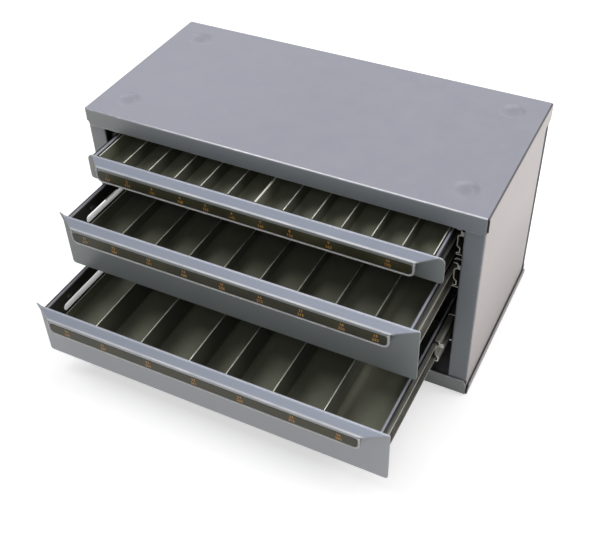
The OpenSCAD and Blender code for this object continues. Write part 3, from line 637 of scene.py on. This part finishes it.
def zincMaterial(name, look=zincLook, greasy=slideLook["greasy"], tip=None, endShine=1.0):
    material, tree, shader = newMaterial(name)
    grain = useGroup(tree, drawnGrain, Stretch=look["stretch"], Stain=look["stain"])
    shade = calc(tree, "MULTIPLY", calc(tree, "ADD", grain["Streak"], grain["Stain"]), 0.5)
    metal = blendColour(tree, remap(tree, shade, 0.35, 0.65, 0.0, 1.0), look["dark"], look["dull"])
    metal = blendColour(tree, remap(tree, grain["Stain"], 0.55, 0.75, 0.0, greasy), metal, look["grease"])
    cut = product(tree, useGroup(tree, facing)["End"], endShine)
    if tip:
        # The edge of each flange, at this distance from the middle plane, is sheared bare metal with a
        # painted highlight on it
        away = apart(tree, calc(tree, "ABSOLUTE", splitPoint(tree)[0]), tip)
        sheared = remap(tree, away, look["tipFrom"], look["tipTo"], slideLook["tipShine"], 0.0)
        cut = strongest(tree, cut, sheared)
    setShader(tree, shader, Base_Color=blendColour(tree, cut, metal, look["bright"]),
              Metallic=remap(tree, cut, 0.0, 1.0, look["metal"], look["cutMetal"]),
              Roughness=stretchNoise(tree, grain["Streak"], *look["rough"]))
    addBump(tree, shader, grain["Streak"], look["depth"])
    return material


# Painted shade: the top drawer's members near black
shadedTopPlate = zincMaterial("topMemberPlate", shadedZinc)
zincPlate = zincMaterial("zincPlate")
# Painted shade: the left members' cut ends shine less
shadedPlate = zincMaterial("zincPlateLeft", endShine=slideLook["leftEndShine"])
runnerPlate = zincMaterial("middleMemberPlate", litZinc, greasy=slideLook["runnerGreasy"])
cageStrip = zincMaterial("cageStrip", greasy=slideLook["cageGreasy"])
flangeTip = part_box("drawer_1_member_right")[1].x


def memberPlate(name, tray):
    # Drawer members of the two deep drawers; the left ones are seen through the trays' slots and take the
    # same painted light
    material = zincMaterial(name + "Plate", litZinc, tip=flangeTip)
    if name.endswith("left"):
        shearSlot(material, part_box(tray)[1].z - trayLook["slotDrop"])
    return material


for name in nodes:
    if "cage" in name:
        finish(name, cageStrip)
    elif name.startswith("drawer_1") and "member" in name:
        finish(name, shadedTopPlate)
    elif name.startswith("drawer") and "member" in name:
        finish(name, memberPlate(name, name.split("_member")[0] + "_tray"))
    elif name == "middle_member_3_right":
        finish(name, runnerPlate)
    elif "member" in name or "rivets" in name:
        finish(name, shadedPlate if name.endswith("left") else zincPlate)
print("slides done")

# Scooped inserts and their dividers

insertLook = {
    "dark": (0.155, 0.159, 0.116), "olive": (0.205, 0.210, 0.154), "dust": (0.26, 0.26, 0.20),
    # Painted light and shade: each drawer's insert lighter or darker by its factor
    "shade": {"drawer_1": 1.22, "drawer_2": 0.82, "drawer_3": 0.98}, "slow": 18.0, "grain": 1400.0,
    "rough": (0.5, 0.65), "depth": 0.00005, "dustAmount": 0.25, "dustGrain": 90.0,
    "edgeFrom": 0.0003, "edgeTo": 0.0001, "dullEdge": (0.42, 0.41, 0.35, 1),
}
dividerLook = {
    "face": (0.125, 0.128, 0.10, 1), "deep": (0.085, 0.087, 0.066, 1), "edge": (0.80, 0.79, 0.70, 1),
    "streak": (60.0, 14.0, 900.0), "edgeMetal": 0.6, "rough": (0.35, 0.55), "depth": 0.00003,
}


def insertMaterial(name, wallTop, edge, shade, look=insertLook):
    material, tree, shader = newMaterial(name)
    point = objectPoint(tree)
    slow = noise(tree, point, look["slow"])
    fine = noise(tree, point, look["grain"], 2.0, 0.5)
    dust = useGroup(tree, settledDust, Amount=look["dustAmount"], Grain=look["dustGrain"])["Mask"]
    dark, olive, dusty = (tuple(shade * c for c in look[key]) + (1,) for key in ("dark", "olive", "dust"))
    base = blendColour(tree, stretchNoise(tree, slow, 0.25, 0.75), dark, olive)
    base = blendColour(tree, dust, base, dusty)
    # The walls end in a sheared edge, as the dividers do
    edgeFrom, edgeTo = wallTop - look["edgeFrom"], wallTop - look["edgeTo"]
    sheared = remap(tree, splitVector(tree, point)[2], edgeFrom, edgeTo, 0.0, 1.0)
    setShader(tree, shader, Base_Color=blendColour(tree, sheared, base, edge),
              Roughness=stretchNoise(tree, fine, *look["rough"]))
    addBump(tree, shader, fine, look["depth"])
    return material


def dividerMaterial(name, look=dividerLook):
    material, tree, shader = newMaterial(name)
    sheared = remap(tree, splitNormal(tree)[2], 0.5, 0.9, 0.0, 1.0)
    streak = noise(tree, vectorCalc(tree, "MULTIPLY", objectPoint(tree), look["streak"]), 1.0)
    face = blendColour(tree, stretchNoise(tree, streak), look["face"], look["deep"])
    setShader(tree, shader, Base_Color=blendColour(tree, sheared, face, look["edge"]),
              Metallic=product(tree, sheared, look["edgeMetal"]),
              Roughness=stretchNoise(tree, streak, *look["rough"]))
    addBump(tree, shader, streak, look["depth"])
    return material


for drawer in drawers:
    edge = dividerLook["edge"] if drawer["body"] == "drawer_1" else insertLook["dullEdge"]
    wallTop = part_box(drawer["inserts"][0])[1].z
    moulded = insertMaterial(drawer["body"] + "Insert", wallTop, edge, insertLook["shade"][drawer["body"]])
    for name in drawer["inserts"]:
        finish(name, moulded)
    finish(drawer["dividers"], dividerMaterial(drawer["body"] + "Divider"))

# Rolled top edges of the dividers, one bead on each

beadLook = {
    "radius": 0.00052, "sink": 0.00035, "sides": 8, "bright": (0.86, 0.85, 0.77, 1),
    "dull": (0.46, 0.45, 0.38, 1), "stretch": (300.0, 25.0, 300.0), "stain": 90.0, "metal": 0.45,
    "rough": (0.28, 0.45), "depth": 0.00002, "topSlack": 0.0001,
}


def beadMaterial(look=beadLook):
    material, tree, shader = newMaterial("rolledEdge")
    grain = useGroup(tree, drawnGrain, Stretch=look["stretch"], Stain=look["stain"])
    wearAndShine = remap(tree, grain["Stain"], 0.35, 0.62, 0.0, 1.0)
    setShader(tree, shader, Base_Color=blendColour(tree, wearAndShine, look["dull"], look["bright"]),
              Metallic=look["metal"], Roughness=stretchNoise(tree, grain["Streak"], *look["rough"]))
    addBump(tree, shader, grain["Streak"], look["depth"])
    return material


def makeBeadTree():
    # A bar along Y on each point
    tree = bpy.data.node_groups.new("dividerBeads", "GeometryNodeTree")
    face = tree.interface
    face.new_socket("Geometry", in_out="INPUT", socket_type="NodeSocketGeometry")
    for label, kind in (("Length", "NodeSocketFloat"), ("Radius", "NodeSocketFloat"),
                        ("Sides", "NodeSocketInt"), ("Material", "NodeSocketMaterial")):
        face.new_socket(label, in_out="INPUT", socket_type=kind)
    face.new_socket("Geometry", in_out="OUTPUT", socket_type="NodeSocketGeometry")
    given = tree.nodes.new("NodeGroupInput").outputs
    end = joinVector(tree, 0.0, given["Length"])
    line = addNode(tree, "GeometryNodeCurvePrimitiveLine", {"End": end}).outputs[0]
    ring = addNode(tree, "GeometryNodeCurvePrimitiveCircle", {
        "Resolution": given["Sides"], "Radius": given["Radius"]}).outputs[0]
    bar = addNode(tree, "GeometryNodeCurveToMesh", {
        "Curve": line, "Profile Curve": ring, "Fill Caps": True})
    smooth = addNode(tree, "GeometryNodeSetShadeSmooth", {"Geometry": bar.outputs[0]})
    many = addNode(tree, "GeometryNodeInstanceOnPoints", {
        "Points": given["Geometry"], "Instance": smooth.outputs[0]})
    real = addNode(tree, "GeometryNodeRealizeInstances", {"Geometry": many.outputs[0]})
    dressed = addNode(tree, "GeometryNodeSetMaterial", {
        "Geometry": real.outputs[0], "Material": given["Material"]})
    tree.links.new(dressed.outputs[0], tree.nodes.new("NodeGroupOutput").inputs[0])
    return tree


beadTree = makeBeadTree()
rolledEdge = beadMaterial()


def evaluatedMesh(holder):
    # Turns a curve, or an object with a modifier, into a plain mesh and removes it
    bpy.context.view_layer.update()
    mesh = bpy.data.meshes.new_from_object(holder.evaluated_get(bpy.context.evaluated_depsgraph_get()))
    bpy.data.objects.remove(holder)
    return mesh


def topsOf(name):
    # Middle of each divider in X, from the corners of its top face
    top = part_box(name)[1].z - beadLook["topSlack"]
    corners = sorted({round(v.co.x, 5) for v in nodes[name].data.vertices if v.co.z > top})
    return [(a + b) / 2 for a, b in zip(corners[::2], corners[1::2])]


def makeBeads(drawer, look=beadLook):
    low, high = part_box(drawer["dividers"])
    points = bpy.data.meshes.new(drawer["body"] + "_beads")
    points.from_pydata([(x, low.y, high.z - look["sink"]) for x in topsOf(drawer["dividers"])], [], [])
    holder = bpy.data.objects.new("beadPoints", points)
    scene.collection.objects.link(holder)
    modifier = holder.modifiers.new("beads", "NODES")
    modifier.node_group = beadTree
    values = {"Length": high.y - low.y, "Radius": look["radius"], "Sides": look["sides"],
              "Material": rolledEdge}
    for item in beadTree.interface.items_tree:
        if item.in_out == "INPUT" and item.name in values:
            modifier[item.identifier] = values[item.name]
    beads = bpy.data.objects.new(drawer["body"] + "_bead_edges", evaluatedMesh(holder))
    scene.collection.objects.link(beads)
    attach(beads, drawer["body"])
    print("beads:", drawer["body"], len(points.vertices), "edges,", len(beads.data.polygons), "faces")


for drawer in drawers:
    makeBeads(drawer)
print("inserts done")

# Label strips and their numbers

labelLook = {
    "film": (0.062, 0.058, 0.026, 1), "dark": (0.027, 0.026, 0.012, 1), "fleck": (0.16, 0.12, 0.06, 1),
    "slow": 30.0, "grain": 1200.0, "fleckAmount": 0.25, "rough": (0.32, 0.45), "specular": 0.3,
    "depth": 0.00002,
}
numberLook = {
    "ink": (0.66, 0.31, 0.055, 1), "fadeGrain": 500.0, "fadeAndLight": 0.6, "rough": (0.4, 0.55),
    "size": 0.0042, "raise": 0.00006, "rowGap": 0.0046, "bold": 0.00012, "curve": 2,
    "lowerFrom": 100, "lowerStep": 7,  # lower row: 107, 114, 121 and so on
}


def labelMaterial(name, look=labelLook):
    material, tree, shader = newMaterial(name)
    point = objectPoint(tree)
    slow = noise(tree, point, look["slow"])
    fine = noise(tree, point, look["grain"], 2.0, 0.5)
    base = blendColour(tree, stretchNoise(tree, slow), look["dark"], look["film"])
    flecks = remap(tree, fine, 0.6, 0.75, 0.0, look["fleckAmount"])
    setShader(tree, shader, Base_Color=blendColour(tree, flecks, base, look["fleck"]),
              Roughness=stretchNoise(tree, slow, *look["rough"]), Specular_IOR_Level=look["specular"])
    addBump(tree, shader, fine, look["depth"])
    return material


def inkMaterial(name, look=numberLook):
    material, tree, shader = newMaterial(name)
    fadeAndLight = noise(tree, objectPoint(tree), look["fadeGrain"], 4.0, 0.7)
    thin = remap(tree, fadeAndLight, 0.35, 0.75, 0.0, look["fadeAndLight"])
    setShader(tree, shader, Base_Color=blendColour(tree, thin, look["ink"], labelLook["film"]),
              Roughness=stretchNoise(tree, fadeAndLight, *look["rough"]))
    return material


labelFilm = labelMaterial("labelFilm")
labelInk = inkMaterial("labelInk")


def textMesh(words, look=numberLook):
    curve = bpy.data.curves.new("digits", "FONT")
    curve.body = words
    curve.size = look["size"]
    curve.extrude = look["raise"]
    curve.resolution_u = look["curve"]
    curve.offset = look["bold"]
    curve.align_x = "CENTER"
    curve.align_y = "CENTER"
    holder = bpy.data.objects.new("digits", curve)
    scene.collection.objects.link(holder)
    mesh = evaluatedMesh(holder)
    bpy.data.curves.remove(curve)
    return mesh


def joinMeshes(name, parts, material):
    points, faces = [], []
    for mesh, matrix in parts:
        start = len(points)
        points += [matrix @ v.co for v in mesh.vertices]
        faces += [[start + i for i in f.vertices] for f in mesh.polygons]
    joined = bpy.data.meshes.new(name)
    joined.from_pydata(points, [], faces)
    joined.materials.append(material)
    joined.update()
    piece = bpy.data.objects.new(name, joined)
    scene.collection.objects.link(piece)
    return piece


def makeNumbers(drawer, first, look=numberLook):
    # Two rows of plain numbers on a drawer's label, counted on from first
    low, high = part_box(drawer["label"])
    middle = (low.z + high.z) / 2
    turn = Matrix.Rotation(math.radians(90), 4, "X")
    parts = []
    for number, x in enumerate(drawer["numberX"], first):
        for row, shown in ((0.5, number), (-0.5, look["lowerFrom"] + look["lowerStep"] * number)):
            place = Matrix.Translation((x, low.y - look["raise"] / 2, middle + row * look["rowGap"]))
            parts.append((textMesh(str(shown)), place @ turn))
    piece = joinMeshes(drawer["body"] + "_numbers", parts, labelInk)
    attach(piece, drawer["body"])


nextNumber = 1
for drawer in drawers:
    finish(drawer["label"], labelFilm)
    makeNumbers(drawer, nextNumber)
    nextNumber += len(drawer["numberX"])
print("labels done")

# Camera at the photograph's angle

cameraLook = {"azimuth": 27.031, "elevation": 41.441, "roll": -1.308, "place": (0.33981, -0.68388, 0.69424),
              "lens": 55.661, "sensor": 36, "shift": (-0.02157, -0.01751), "clip": (0.01, 50)}


def makeCamera(look=cameraLook):
    data = bpy.data.cameras.new("studioCamera")
    data.sensor_fit = "HORIZONTAL"
    data.sensor_width = look["sensor"]
    data.lens = look["lens"]
    data.shift_x, data.shift_y = look["shift"]
    data.clip_start, data.clip_end = look["clip"]
    camera = bpy.data.objects.new("studioCamera", data)
    scene.collection.objects.link(camera)
    az, el, roll = (math.radians(look[key]) for key in ("azimuth", "elevation", "roll"))
    back = Vector((math.sin(az) * math.cos(el), -math.cos(az) * math.cos(el), math.sin(el)))
    across = Vector((0, 0, 1)).cross(back).normalized()
    upward = back.cross(across)
    right = math.cos(roll) * across + math.sin(roll) * upward
    top = -math.sin(roll) * across + math.cos(roll) * upward
    turn = Matrix((right, top, back)).transposed().to_4x4()
    camera.matrix_world = Matrix.Translation(look["place"]) @ turn
    scene.camera = camera


makeCamera()

# Floor, lamps and world

lampLook = [
    {"name": "keyLeft", "place": (-0.75, -0.45, 1.95), "aim": (0, -0.1, 0.1), "size": 1.0, "power": 16,
     "tint": (1.0, 1.0, 1.0)},
    {"name": "backFill", "place": (0.3, 0.6, 2.0), "aim": (0, -0.1, 0.1), "size": 1.6, "power": 16,
     "tint": (1.0, 1.0, 1.0)},
    {"name": "frontFill", "place": (0.35, -1.5, 1.5), "aim": (0, -0.1, 0.1), "size": 0.9, "power": 3.8,
     "tint": (1.0, 1.0, 1.0)},
    {"name": "rightSide", "place": (1.3, 0.25, 1.05), "aim": (0.2, 0, 0.15), "size": 0.8, "power": 8.0,
     "tint": (1.0, 0.98, 0.97)},
]
worldLook = {"ambient": (0.055, 0.055, 0.058, 1), "white": (1, 1, 1, 1)}
floorLook = {
    "halfSize": 6.0, "colour": (0.92, 0.92, 0.92, 1), "shadowColour": (0.62, 0.62, 0.62, 1),
    "white": (1, 1, 1, 1), "lift": 0.68, "near": 0.075, "nearShade": 0.84, "shadeFrom": 0.35,
    "shadeTo": 0.95, "samples": 8,
    "whiteFrom": 0.6, "whiteTo": 1.6,  # distance from the object over which the floor turns white
}


def makeLamp(look):
    data = bpy.data.lights.new(look["name"], "AREA")
    data.shape = "DISK"
    data.size = look["size"]
    data.energy = look["power"]
    data.color = look["tint"]
    lamp = bpy.data.objects.new(look["name"], data)
    scene.collection.objects.link(lamp)
    lamp.visible_camera = False
    lamp.location = look["place"]
    lamp.rotation_mode = "QUATERNION"
    lamp.rotation_quaternion = (Vector(look["aim"]) - Vector(look["place"])).to_track_quat("-Z", "Y")


def seenDirectly(tree):
    path = addNode(tree, "ShaderNodeLightPath").outputs
    return strongest(tree, path["Is Camera Ray"], path["Is Glossy Ray"], path["Is Transmission Ray"])


def makeFloor(look=floorLook):
    size = look["halfSize"]
    mesh = bpy.data.meshes.new("floor")
    corners = [(-size, -size, 0), (size, -size, 0), (size, size, 0), (-size, size, 0)]
    mesh.from_pydata(corners, [], [(0, 1, 2, 3)])
    floor = bpy.data.objects.new("floor", mesh)
    scene.collection.objects.link(floor)
    material = bpy.data.materials.new("floorPaper")
    material.use_nodes = True
    tree = material.node_tree
    tree.nodes.clear()
    plain = addNode(tree, "ShaderNodeBsdfDiffuse", {"Color": look["colour"]})
    shadow = addNode(tree, "ShaderNodeBsdfDiffuse", {"Color": look["shadowColour"]})
    away = vectorCalc(tree, "LENGTH", objectPoint(tree))
    rise = remap(tree, away, look["whiteFrom"], look["whiteTo"], look["lift"], 1.0)
    # Painted shadow: the floor darkens near the object by ambient occlusion
    uncovered = addNode(tree, "ShaderNodeAmbientOcclusion", {"Distance": look["near"]},
                        samples=look["samples"]).outputs["AO"]
    shade = remap(tree, uncovered, look["shadeFrom"], look["shadeTo"], look["nearShade"], 1.0)
    lift = addNode(tree, "ShaderNodeEmission", {
        "Color": look["white"], "Strength": product(tree, shade, rise)})
    lifted = addNode(tree, "ShaderNodeAddShader", {0: shadow.outputs[0], 1: lift.outputs[0]})
    pick = addNode(tree, "ShaderNodeMixShader", {
        0: seenDirectly(tree), 1: plain.outputs[0], 2: lifted.outputs[0]})
    addNode(tree, "ShaderNodeOutputMaterial", {"Surface": pick.outputs[0]})
    mesh.materials.append(material)


def makeWorld(look=worldLook):
    world = bpy.data.worlds.new("studio")
    scene.world = world
    world.use_nodes = True
    tree = world.node_tree
    tree.nodes.clear()
    ambient = addNode(tree, "ShaderNodeBackground", {"Color": look["ambient"], "Strength": 1.0})
    white = addNode(tree, "ShaderNodeBackground", {"Color": look["white"], "Strength": 1.0})
    pick = addNode(tree, "ShaderNodeMixShader", {
        0: seenDirectly(tree), 1: ambient.outputs[0], 2: white.outputs[0]})
    addNode(tree, "ShaderNodeOutputWorld", {"Surface": pick.outputs[0]})


for lamp in lampLook:
    makeLamp(lamp)
makeFloor()
makeWorld()
scene.view_settings.view_transform = "Standard"
print("studio done")
